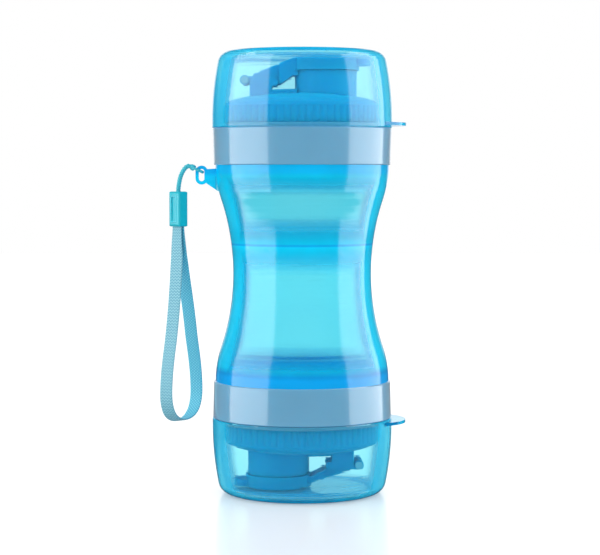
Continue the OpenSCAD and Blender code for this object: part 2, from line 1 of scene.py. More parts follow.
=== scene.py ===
"""Dresses the pet travel bottle: plastics, seals, screw threads and wrist strap, in a plain white studio."""

import math

import bpy
from mathutils import Matrix, Vector


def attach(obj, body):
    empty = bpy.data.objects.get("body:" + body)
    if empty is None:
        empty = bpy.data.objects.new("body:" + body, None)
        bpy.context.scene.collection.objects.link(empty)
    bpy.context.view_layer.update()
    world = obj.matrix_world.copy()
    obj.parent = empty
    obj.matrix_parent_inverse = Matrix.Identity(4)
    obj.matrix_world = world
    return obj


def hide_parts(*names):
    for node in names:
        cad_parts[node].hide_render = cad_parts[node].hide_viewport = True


bl_info = {
    "name": "Pet travel bottle",
    "version": (1, 0, 0),
    "blender": (4, 5, 0),
    "location": "3D View > Sidebar > Bottle",
    "description": "Gives the packed travel bottle its plastics, threads, wrist strap and studio",
    "category": "Object",
}

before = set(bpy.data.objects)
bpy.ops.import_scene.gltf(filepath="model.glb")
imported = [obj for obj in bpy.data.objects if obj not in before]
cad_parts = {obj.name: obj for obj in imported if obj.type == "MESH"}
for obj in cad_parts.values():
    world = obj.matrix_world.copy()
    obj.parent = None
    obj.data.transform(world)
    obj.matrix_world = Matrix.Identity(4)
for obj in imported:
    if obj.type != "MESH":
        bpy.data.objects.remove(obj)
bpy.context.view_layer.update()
MM = 0.001

# Levels of the bottle's top, of the upper ring's face and of the closed lid above that face, in millimetres
HEIGHT = 224.0
UPPER_FACE = 185.2
LID_TOP = 35.4

# Radius of the necks, and the spouts' distance from the axis
NECK_R = 36.1
SPOUT_X = 12.0

# A thread's start below its ring's face, its points in a turn, the share of its length over which an end
# rises, how far its foot and its ends lie in the neck, and half its width at its foot and at its crest
THREAD_DROP = 9
THREAD_STEPS = 96
THREAD_RISE = 1 / 12
THREAD_SINK = 0.2
THREAD_END_SINK = 0.05
THREAD_FOOT = 1.0
THREAD_CREST = 0.4

# Radius and height of a moulding point's rings, and the sides that it has
GATE_PROFILE = ((1.1, -0.1), (1.1, 0.08), (0.9, 0.22), (0.4, 0.25))
GATE_SIDES = 24

# The clamp and the strap's turns and route, as in the part's source, in millimetres and degrees. Only the
# cord starts a little sooner here, inside the knot.
STRAP_X = -62.8
CLAMP_YAW = 50
LOOP_YAW = 30
CLAMP_LOW = 135.5
CLAMP_H = 17.8
CLAMP_T = 6
TWIST_H = 20
WEBBING_TILT = 9
LOOP_SHIFT = 1.3
SHIFT_H = 50
WEBBING_HALF = [
    (-0.7, 143), (-0.7, 138), (-0.8, 134.5), (-1.2, 128), (-1.8, 121), (-3.2, 112.5), (-4.7, 104),
    (-6.3, 95.5), (-7.9, 87), (-9.5, 78.5), (-11.5, 70), (-13.1, 61.5), (-13.9, 53), (-13.5, 47), (-11.4, 42),
    (-8, 38.9), (-4, 37.4),
]
WEBBING_LOW = 37
CORD_ROUTE = [
    (-56.4, 0, 165.9), (-57.1, 0, 166.15), (-58, 0, 166.1), (-58.9, 0, 165.5), (-59.8, 0, 164.5),
    (-60.7, 0, 163), (-61.5, 0, 161.2), (-62.1, 0, 159), (-62.5, 0, 156.8), (-62.75, 0, 154.8),
    (-62.8, 0, 152.5), (-62.8, 0, 148),
]
LOOP_CENTRE = (-52.939, 0, 164.251)
LOOP_TILT = 25
LOOP_R = 2.75
LOOP_END = 138
KNOT_CENTRE = (-55.431, 0, 165.413)

# Half the width and height of the frame on the clamp's front, and the radius of its corners
FRAME_HALF = (2.1, 6.5)
FRAME_CORNER = 0.6

# The weave: the side of the webbing that its outer face is on, how far a stitch stands up, points across a
# column, rows along a stitch and how square the webbing's edges are
OUTER_FACE = 1
STITCH_H = 0.12
COLUMN_POINTS = 6
STITCH_ROWS = 5
EDGE_POWER = 8

# Where the clear plastic is thick, and so milky: heights in millimetres, from 0 for clear to 1 for milky.
# It's so outside the rim's radius, and in the lug beyond its root. A wall seen at a glance is milky too: from
# one value of Layer Weight's Facing to another, and up to a share.
BODY_THICK = [
    (61, 1), (67, 0.3), (72, 0), (112, 0), (120, 0.55), (126, 1), (132, 0.55), (140, 0), (152, 0),
    (158, 0.5), (163, 1),
]
CUP_THICK = [(0, 0.7), (2, 0.25), (5, 0), (219, 0), (222, 0.25), (224, 0.7)]
BODY_RIM = 32
CUP_RIM = 40
LUG_ROOT = 42.5
THICK_FADE = 2
GLANCE = (0.38, 0.54, 0.8)

# How light the milky plastic is at each height, from 0 for deep to 1 for light, and what the deep keeps of
# its colour
BODY_TONE = [
    (55, 1), (57.5, 0), (63, 0), (65.5, 1), (126.2, 1), (126.6, 0), (127, 0), (127.4, 1), (161, 1),
    (163, 0.4),
]
CUP_TONE = [(0, 1), (224, 1)]
DEEP_SHARE = (1, 0.58, 0.88)
PLASTIC_IOR = 1.49

# The two softboxes: their bearings in degrees from the camera to the left. A lamp and a card stand at each,
# and these are their distances and heights in metres
SOFTBOXES = (("left", 42, 101), ("right", -121, -59))
LAMP_AWAY = 0.62
LAMP_TALL = 1.0
LAMP_MIDDLE = 0.45
CARD_AWAY = 0.35
CARD_TALL = 0.6
CARD_STEPS = 12

# The floor: half its width and its level in metres, its colour, its glow where it's seen, the share of its
# polish, and how dim it is in the bottle's mirror images. The film lies over it.
FLOOR_HALF = 3.0
FLOOR_LEVEL = -0.00012
FILM_LEVEL = -0.00006
FLOOR_WHITE = 0.75
FLOOR_GLOW = 0.47
FLOOR_POLISH = 0.4
FLOOR_DIM = 0.07

# The walls in the bottle's mirror images: their brightness towards the camera and away from it, and how far
# back a direction points, from -1 to 1, where the one passes to the other and where the bright wall sets in
NEAR_DIM = 0.04
FAR_DIM = 0.09
DIM_BAND = (-0.35, 0.6)
FAR_WALL = (0.9, 0.97)

WHITE = (1, 1, 1, 1)


class Tap:
    """One output of a node, which takes part in sums as a number does."""

    def __init__(self, mix, socket):
        self.mix = mix
        self.socket = socket

    def sum(self, operation, first, second):
        return self.mix.node("ShaderNodeMath", {"operation": operation}, {0: first, 1: second})

    def __add__(self, other):
        return self.sum("ADD", self, other)

    def __radd__(self, other):
        return self.sum("ADD", other, self)

    def __sub__(self, other):
        return self.sum("SUBTRACT", self, other)

    def __rsub__(self, other):
        return self.sum("SUBTRACT", other, self)

    def __mul__(self, other):
        return self.sum("MULTIPLY", self, other)

    def __rmul__(self, other):
        return self.sum("MULTIPLY", other, self)


class Mix:
    """The nodes of one material or world."""

    def __init__(self, owner):
        owner.use_nodes = True
        self.tree = owner.node_tree
        self.tree.nodes.clear()

    def node(self, kind, settings=None, sockets=None, out=0):
        """Adds a node: its settings first, then its sockets' values or links. Returns one of its outputs."""
        made = self.tree.nodes.new(kind)
        for key, value in (settings or {}).items():
            if key == "stops":
                ramp = made.color_ramp
                while len(ramp.elements) < len(value):
                    ramp.elements.new(0.5)
                for stop, (position, colour) in zip(ramp.elements, value):
                    stop.position = position
                    stop.color = (*colour, 1)
            else:
                setattr(made, key, value)
        for key, value in (sockets or {}).items():
            if isinstance(value, Tap):
                self.tree.links.new(value.socket, made.inputs[key])
            else:
                made.inputs[key].default_value = value
        return Tap(self, made.outputs[out]) if made.outputs else None

    def blend(self, factor, first, second):
        """A colour between two colours."""
        return self.node(
            "ShaderNodeMix",
            {"data_type": "RGBA"},
            {0: factor, 6: first, 7: second},
            out=2,
        )


def rgba(colour):
    """A colour with its alpha, as a socket takes it."""
    return (*colour, 1)


def shades(colour, deep, light):
    """A colour made deeper and lighter by two factors."""
    return rgba([c * deep for c in colour]), rgba([min(1, c * light) for c in colour])


def ease(mix, value, start, end, low=0.0, high=1.0):
    """A number that goes smoothly from low to high while a value goes from start to end."""
    return mix.node(
        "ShaderNodeMapRange",
        {"interpolation_type": "SMOOTHSTEP"},
        {0: value, 1: start, 2: end, 3: low, 4: high},
    )


def greatest(mix, first, second):
    """The greater of two numbers."""
    return mix.node("ShaderNodeMath", {"operation": "MAXIMUM"}, {0: first, 1: second})


def light_path(mix, *rays):
    """Outputs of a Light Path node, by name."""
    outputs = mix.node("ShaderNodeLightPath").socket.node.outputs
    return [Tap(mix, outputs[ray]) for ray in rays]


def through_film(depth):
    """1 for light that has passed the floor's film, and 0 for other light."""
    return depth.sum("GREATER_THAN", depth, 0.5)


def split_place(mix):
    """The place on the piece as three numbers: across, depth and level."""
    here = mix.node("ShaderNodeTexCoord", out=3)
    parts = mix.node("ShaderNodeSeparateXYZ", None, {0: here}).socket.node.outputs
    return [Tap(mix, part) for part in parts]


def place_of(mix, scale):
    """The place on the piece, in its own frame, stretched by a scale on each axis."""
    here = mix.node("ShaderNodeTexCoord", out=3)
    return mix.node("ShaderNodeMapping", None, {0: here, 3: scale})


def speckle(mix, scale, detail=2.0):
    """Soft random patches from 0 to 1, about 1 / scale metres across."""
    return mix.node(
        "ShaderNodeTexNoise", None, {"Vector": place_of(mix, (1, 1, 1)), "Scale": scale, "Detail": detail}
    )


def by_height(mix, level, heights):
    """A number that changes with height, from a list of heights in millimetres and values."""
    stops = [(z / HEIGHT, (share, share, share)) for z, share in heights]
    return mix.node("ShaderNodeValToRGB", {"stops": stops}, {0: level * (1 / (HEIGHT * MM))})


def thickness(mix, heights, rim):
    """From 0 to 1, how far light goes through plastic: at thick heights outside a radius, in the lug, and
    along a glancing wall."""
    across, depth, level = split_place(mix)
    reach = mix.node("ShaderNodeMath", {"operation": "SQRT"}, {0: across * across + depth * depth})
    outside = ease(mix, reach, (rim - THICK_FADE) * MM, (rim + THICK_FADE) * MM)
    thick = by_height(mix, level, heights) * outside
    lug = ease(mix, across, -LUG_ROOT * MM, -(LUG_ROOT + THICK_FADE) * MM)
    start, end, most = GLANCE
    facing = mix.node("ShaderNodeLayerWeight", None, {"Blend": 0.5}, out=1)
    return greatest(mix, greatest(mix, thick, lug), ease(mix, facing, start, end, high=most))


def clear_plastic(name, tint, absorbs, density, milk, haze, thick_haze, heights, rim, tones, roughness):
    """Clear tinted plastic, milky where it is thick: the wall deepens its colour. Lamps shine through it."""
    material = bpy.data.materials.new(name)
    mix = Mix(material)
    cloud = speckle(mix, 60)
    waves = speckle(mix, 35, 1.0)
    flow = mix.node("ShaderNodeBump", None, {"Strength": 0.12, "Distance": 0.0004, "Height": waves})
    clear = mix.node(
        "ShaderNodeBsdfPrincipled",
        None,
        {
            "Base Color": mix.blend(cloud, *shades(tint, 1, 1.04)),
            "Roughness": roughness + cloud * 0.03,
            "IOR": PLASTIC_IOR,
            "Transmission Weight": 1.0,
            "Normal": flow,
        },
    )
    level = split_place(mix)[2]
    deep = [c * share for c, share in zip(milk, DEEP_SHARE)]
    milky = mix.blend(by_height(mix, level, tones), rgba(deep), rgba(milk))
    cloudy = mix.node(
        "ShaderNodeBsdfPrincipled",
        None,
        {"Base Color": milky, "Roughness": 0.12, "IOR": PLASTIC_IOR, "Normal": flow},
    )
    share = (haze + thickness(mix, heights, rim) * (thick_haze - haze)) * (0.8 + cloud * 0.4)
    body = mix.node("ShaderNodeMixShader", None, {0: share, 1: clear, 2: cloudy})
    (lamp,) = light_path(mix, "Is Shadow Ray")
    through = mix.node("ShaderNodeBsdfTransparent", None, {"Color": rgba(tint)})
    shader = mix.node("ShaderNodeMixShader", None, {0: lamp, 1: body, 2: through})
    inside = mix.node("ShaderNodeVolumeAbsorption", None, {"Color": rgba(absorbs), "Density": density})
    mix.node("ShaderNodeOutputMaterial", None, {"Surface": shader, "Volume": inside})
    return material


def moulded_plastic(name, colour, roughness, grain, coat=0.0, glow=0.0, sheen=0.0, gloss=0.5):
    """Solid moulded plastic with a faint grain and slightly uneven colour."""
    material = bpy.data.materials.new(name)
    mix = Mix(material)
    cloud = speckle(mix, 45)
    fine = speckle(mix, 2600, 3.0)
    skin = mix.node("ShaderNodeBump", None, {"Strength": grain, "Distance": 0.00006, "Height": fine})
    shader = mix.node(
        "ShaderNodeBsdfPrincipled",
        None,
        {
            "Base Color": mix.blend(cloud, *shades(colour, 0.94, 1.05)),
            "Roughness": roughness + cloud * 0.08,
            "Coat Weight": coat,
            "Coat Roughness": 0.06,
            "Subsurface Weight": glow,
            "Subsurface Radius": (0.2, 0.8, 1.0),
            "Subsurface Scale": 0.004,
            "Specular IOR Level": gloss,
            "Sheen Weight": sheen,
            "Sheen Roughness": 0.35,
            "Normal": skin,
        },
    )
    mix.node("ShaderNodeOutputMaterial", None, {"Surface": shader})
    return material


def brushed_steel(name, colour):
    """Steel with a fine grain."""
    material = bpy.data.materials.new(name)
    mix = Mix(material)
    fine = speckle(mix, 2600, 3.0)
    shader = mix.node(
        "ShaderNodeBsdfPrincipled",
        None,
        {"Base Color": rgba(colour), "Metallic": 1.0, "Roughness": fine * 0.15 + 0.25},
    )
    mix.node("ShaderNodeOutputMaterial", None, {"Surface": shader})
    return material


def yarn(name, light, hollow_shade):
    """Polyester yarn: fine fibres, with painted shade in their hollows and random patches of tone."""
    material = bpy.data.materials.new(name)
    mix = Mix(material)
    fibre = speckle(mix, 3000, 3.0)
    patch = speckle(mix, 160)
    fuzz = mix.node("ShaderNodeBump", None, {"Strength": 0.5, "Distance": 0.00008, "Height": fibre})
    shader = mix.node(
        "ShaderNodeBsdfPrincipled",
        None,
        {
            # Painted shade: where the fibre noise is low, which is also where the bumps sink, the colour goes
            # to the hollow shade; the patches vary the tone at random
            "Base Color": mix.blend(fibre * 0.6 + patch * 0.4, rgba(hollow_shade), rgba(light)),
            "Roughness": 0.55 + fibre * 0.2,
            "Sheen Weight": 0.1,
            "Sheen Roughness": 0.4,
            "Normal": fuzz,
        },
    )
    mix.node("ShaderNodeOutputMaterial", None, {"Surface": shader})
    return material


def webbing_yarn(strap):
    """Woven yarn: light stitches on the outer face, deeper ones on the inner face, painted shade between."""
    material = bpy.data.materials.new("webbing_yarn")
    mix = Mix(material)
    weave = mix.node("ShaderNodeAttribute", {"attribute_name": "weave"}, out=1)
    parts = mix.node("ShaderNodeSeparateXYZ", None, {0: weave}).socket.node.outputs
    raised, inner = Tap(mix, parts[0]), Tap(mix, parts[1])
    fibre = mix.node(
        "ShaderNodeTexNoise", None, {"Vector": place_of(mix, (1, 1, 0.4)), "Scale": 3000, "Detail": 3.0}
    )
    top = mix.blend(inner, rgba(strap.light), rgba(strap.inner))
    # Painted shade: the hollows between the stitches get a dark colour, a little lighter on the inner face
    hollow = mix.blend(inner, rgba(strap.hollow_shade), rgba([c * 1.4 for c in strap.hollow_shade]))
    height = fibre * 0.5 + raised
    fuzz = mix.node("ShaderNodeBump", None, {"Strength": 0.5, "Distance": 0.0001, "Height": height})
    shader = mix.node(
        "ShaderNodeBsdfPrincipled",
        None,
        {
            # From the painted hollow shade up to the yarn's colour, by how far each stitch stands up
            "Base Color": mix.blend(raised * 0.85 + fibre * 0.15, hollow, top),
            "Roughness": 0.55 + fibre * 0.2,
            "Sheen Weight": 0.2,
            "Sheen Roughness": 0.4,
            "Normal": fuzz,
        },
    )
    mix.node("ShaderNodeOutputMaterial", None, {"Surface": shader})
    return material


def give(material, *names):
    """Puts a material on pieces or CAD nodes."""
    for name in names:
        piece = bpy.data.objects[name]
        piece.data.materials.clear()
        piece.data.materials.append(material)


def smooth_path(points, step):
    """A smooth line through the points, with a point about every step."""
    points = [Vector(p) for p in points]
    padded = [2 * points[0] - points[1], *points, 2 * points[-1] - points[-2]]
    line = []
    for before, a, b, after in zip(padded, padded[1:], padded[2:], padded[3:]):
        count = max(1, round((b - a).length / step))
        for i in range(count):
            t = i / count
            line.append(
                0.5
                * (
                    2 * a
                    + (b - before) * t
                    + (2 * before - 5 * a + 4 * b - after) * t**2
                    + (3 * a - before - 3 * b + after) * t**3
                )
            )
    return [*line, points[-1]]


def around(count):
    """Cosine and sine of each step round a circle."""
    return [(math.cos(math.tau * k / count), math.sin(math.tau * k / count)) for k in range(count)]


def length_of(line):
    return sum((b - a).length for a, b in zip(line, line[1:]))


def frames(line, up=(0, 1, 0)):
    """For each point of a line its place, its direction and two directions square to it, without twist."""
    side = Vector(up)
    result = []
    for i, point in enumerate(line):
        ahead = (line[min(i + 1, len(line) - 1)] - line[max(i - 1, 0)]).normalized()
        side = (side - ahead * side.dot(ahead)).normalized()
        result.append((point, ahead, side, ahead.cross(side)))
    return result


def ring_mesh(name, groups, closed=False):
    """One mesh from groups of rings of points in millimetres, each group a tube with closed ends."""
    corners, faces = [], []
    for rings in groups:
        start, n = len(corners), len(rings[0])
        for ring in rings:
            corners.extend(ring)
        last = len(rings) if closed else len(rings) - 1
        for i in range(last):
            here, there = start + i * n, start + (i + 1) % len(rings) * n
            for k in range(n):
                faces.append((here + k, here + (k + 1) % n, there + (k + 1) % n, there + k))
        if not closed:
            faces.append(tuple(start + k for k in reversed(range(n))))
            faces.append(tuple(start + (len(rings) - 1) * n + k for k in range(n)))
    mesh = bpy.data.meshes.new(name)
    mesh.from_pydata([Vector(c) * MM for c in corners], [], faces)
    mesh.polygons.foreach_set("use_smooth", [True] * len(faces))
    mesh.update()
    piece = bpy.data.objects.new(name, mesh)
    bpy.context.scene.collection.objects.link(piece)
    return piece


def settle(piece, body, slot, material, *nodes):
    """Lets a finished piece ride on its body, in its material, for the nodes that it stands for; the slot is
    not used.
    """
    piece.data.materials.append(material)
    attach(piece, body)
    if nodes:
        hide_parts(*nodes)
    return piece


def braid_rings(line, core_r, strand_r, strands, lay, sides=6):
    """Strands wound both ways round a line, each over and under the others."""
    groups = []
    placed = frames(line)
    along = [0.0]
    for a, b in zip(line, line[1:]):
        along.append(along[-1] + (b - a).length)
    for k in range(strands):
        way = 1 if k % 2 else -1
        phase = math.tau * (k // 2) / (strands / 2)
        centres = []
        for (point, _, side, up), s in zip(placed, along):
            turn = way * math.tau * s / lay + phase
            weave = strand_r * 0.45 * math.cos(strands / 2 * (way * turn) + math.pi * (k % 2))
            out = side * math.cos(turn) + up * math.sin(turn)
            centres.append(point + out * (core_r + weave))
        groups.append(tube_rings(centres, strand_r, sides))
    return groups


def tube_rings(line, radius, sides=8):
    """Rings of a round tube along a line."""
    return [
        [point + radius * (side * c + up * s) for c, s in around(sides)]
        for point, _, side, up in frames(line)
    ]


def eased(t):
    """A share from 0 to 1 with a soft start and end."""
    t = max(0.0, min(1.0, t))
    return t * t * (3 - 2 * t)


def turned(rings):
    """Rings of the upper end turned half round about Y, for the lower end."""
    return [[Vector((-x, y, HEIGHT - z)) for x, y, z in ring] for ring in rings]


def at_both_ends(name, rings, bodies, slot):
    """A piece at the upper end and the same one turned over at the lower end, in the plastic of its slot."""
    for end, body, placed in zip(("upper", "lower"), bodies, (rings, turned(rings))):
        settle(ring_mesh(f"{end}_{name}", [placed]), body, slot, bpy.data.materials[slot])


def yaw_at(z):
    """The strap's yaw at a height: it eases from the clamp's to the loop's."""
    return math.radians(CLAMP_YAW + (LOOP_YAW - CLAMP_YAW) * eased((CLAMP_LOW - z) / TWIST_H))


def width_dir(z):
    """The direction across the webbing at a height."""
    yaw = yaw_at(z)
    tilt = math.radians(WEBBING_TILT * eased((CLAMP_LOW - z) / TWIST_H))
    return Vector((math.cos(yaw) * math.cos(tilt), -math.sin(yaw) * math.cos(tilt), math.sin(tilt)))


def webbing_line(step):
    """The webbing's middle line, down the front strand and up the back one."""
    spread = [*WEBBING_HALF, (0, WEBBING_LOW), *[(-s, z) for s, z in reversed(WEBBING_HALF)]]
    points = []
    for s, z in spread:
        yaw = yaw_at(z)
        middle = STRAP_X + LOOP_SHIFT * eased((CLAMP_LOW - z) / SHIFT_H)
        points.append((middle + s * math.sin(yaw), s * math.cos(yaw), z))
    return smooth_path(points, step)


class PlasticColours(bpy.types.PropertyGroup):
    """Colours of the bottle's plastics."""

    body: bpy.props.FloatVectorProperty(
        name="Body", description="Tint of the body's surface", subtype="COLOR", default=(0.99, 1.0, 1.0)
    )
    body_depth: bpy.props.FloatVectorProperty(
        name="Body depth", description="Colour that the body's wall lets through", subtype="COLOR",
        default=(0.0, 0.835, 0.91),
    )
    body_density: bpy.props.FloatProperty(
        name="Body density", description="How strongly the body's wall deepens the colour",
        default=350.0, min=0.0,
    )
    body_milk: bpy.props.FloatVectorProperty(
        name="Body milk", description="Colour that clouds the body's plastic", subtype="COLOR",
        default=(0.0, 0.66, 1.0),
    )
    body_haze: bpy.props.FloatProperty(
        name="Body haze", description="How milky the body is where it's thin", default=0.02, min=0.0, max=1.0
    )
    body_thick_haze: bpy.props.FloatProperty(
        name="Thick body haze", description="How milky the body is at its shoulders, its seam and its lug",
        default=0.98, min=0.0, max=1.0,
    )
    cup: bpy.props.FloatVectorProperty(
        name="Cups", description="Tint of the cups' surface", subtype="COLOR", default=(0.99, 1.0, 1.0)
    )
    cup_depth: bpy.props.FloatVectorProperty(
        name="Cup depth", description="Colour that a cup's wall lets through", subtype="COLOR",
        default=(0.0, 0.86, 0.95),
    )
    cup_density: bpy.props.FloatProperty(
        name="Cup density", description="How strongly a cup's wall deepens the colour", default=190.0, min=0.0
    )
    cup_milk: bpy.props.FloatVectorProperty(
        name="Cup milk", description="Colour that clouds the cups' plastic", subtype="COLOR",
        default=(0.0, 0.6, 0.95),
    )
    cup_haze: bpy.props.FloatProperty(
        name="Cup haze", description="How milky the cups are where they're thin",
        default=0.02, min=0.0, max=1.0,
    )
    cup_thick_haze: bpy.props.FloatProperty(
        name="Thick cup haze", description="How milky a cup is at its edges", default=0.75, min=0.0, max=1.0
    )
    ring: bpy.props.FloatVectorProperty(
        name="Rings", description="Colour of the collar rings", subtype="COLOR", default=(0.15, 0.4, 0.6)
    )
    cap: bpy.props.FloatVectorProperty(
        name="Caps", description="Colour of the screw caps and flip lids", subtype="COLOR",
        default=(0.0, 0.43, 0.73),
    )
    seal: bpy.props.FloatVectorProperty(
        name="Seals", description="Colour of the silicone seals", subtype="COLOR", default=(0.62, 0.78, 0.86)
    )
    pin: bpy.props.FloatVectorProperty(
        name="Pins", description="Colour of the steel hinge pins", subtype="COLOR", default=(0.22, 0.45, 0.6)
    )


class ThreadSizes(bpy.types.PropertyGroup):
    """Sizes of the screw threads."""

    pitch: bpy.props.FloatProperty(
        name="Pitch", description="Rise of a thread in one turn", default=0.004, unit="LENGTH", min=0.002
    )
    turns: bpy.props.FloatProperty(
        name="Turns", description="Turns of a thread", default=1.5, min=0.5, max=3.0
    )
    depth: bpy.props.FloatProperty(
        name="Depth", description="Height that a thread stands out", default=0.0009, unit="LENGTH", min=0.0003
    )


class StrapMake(bpy.types.PropertyGroup):
    """Sizes and colours of the wrist strap."""

    width: bpy.props.FloatProperty(
        name="Width", description="Width of the webbing", default=0.0074, unit="LENGTH", min=0.004
    )
    thickness: bpy.props.FloatProperty(
        name="Thickness", description="Thickness of the webbing", default=0.0011, unit="LENGTH", min=0.0005
    )
    weave: bpy.props.FloatProperty(
        name="Weave", description="Length of one stitch of the weave",
        default=0.0015, unit="LENGTH", min=0.0004,
    )
    columns: bpy.props.IntProperty(
        name="Columns", description="Columns of the weave across the webbing", default=8, min=2
    )
    light: bpy.props.FloatVectorProperty(
        name="Light yarn", description="Colour on top of the yarns", subtype="COLOR",
        default=(0.35, 0.7, 0.78),
    )
    inner: bpy.props.FloatVectorProperty(
        name="Inner yarn", description="Colour of the webbing's inner face", subtype="COLOR",
        default=(0.26, 0.85, 0.95),
    )
    # Painted shade that the weave's hollows between the stitches get
    hollow_shade: bpy.props.FloatVectorProperty(
        name="Dark yarn", description="Colour between the yarns", subtype="COLOR", default=(0.0, 0.24, 0.4)
    )
    clamp: bpy.props.FloatVectorProperty(
        name="Clamp", description="Colour of the clamp", subtype="COLOR", default=(0.0, 0.5, 0.62)
    )
    cord: bpy.props.FloatVectorProperty(
        name="Cord", description="Colour on top of the cord's fibres", subtype="COLOR",
        default=(0.09, 0.68, 0.78),
    )
    # Painted shade that the hollows between the cord's fibres get
    cord_hollow_shade: bpy.props.FloatVectorProperty(
        name="Cord hollows", description="Colour between the cord's fibres", subtype="COLOR",
        default=(0.0, 0.4, 0.52),
    )
    frame: bpy.props.FloatProperty(
        name="Clamp frame", description="Thickness of the raised frame round the clamp's recess",
        default=0.0006, unit="LENGTH", min=0.0002,
    )


class StudioSet(bpy.types.PropertyGroup):
    """Light and camera of the studio."""

    camera_at: bpy.props.FloatVectorProperty(
        name="Camera", description="Place of the camera", subtype="TRANSLATION",
        default=(-0.00106, -0.967, 0.16063),
    )
    camera_tilt: bpy.props.FloatProperty(
        name="Tilt", description="Angle that the camera looks down", subtype="ANGLE",
        default=math.radians(3.0215),
    )
    lens: bpy.props.FloatProperty(
        name="Lens", description="Focal length of the camera in millimetres", default=114.24, min=10
    )
    softbox: bpy.props.FloatProperty(
        name="Softboxes", description="Brightness of the two softboxes", default=0.45, min=0
    )
    card: bpy.props.FloatProperty(
        name="Cards", description="Brightness of the softboxes in mirror images", default=3.1, min=0
    )
    ambient: bpy.props.FloatProperty(
        name="Ambient", description="Brightness of the studio's walls", default=1.1, min=0
    )


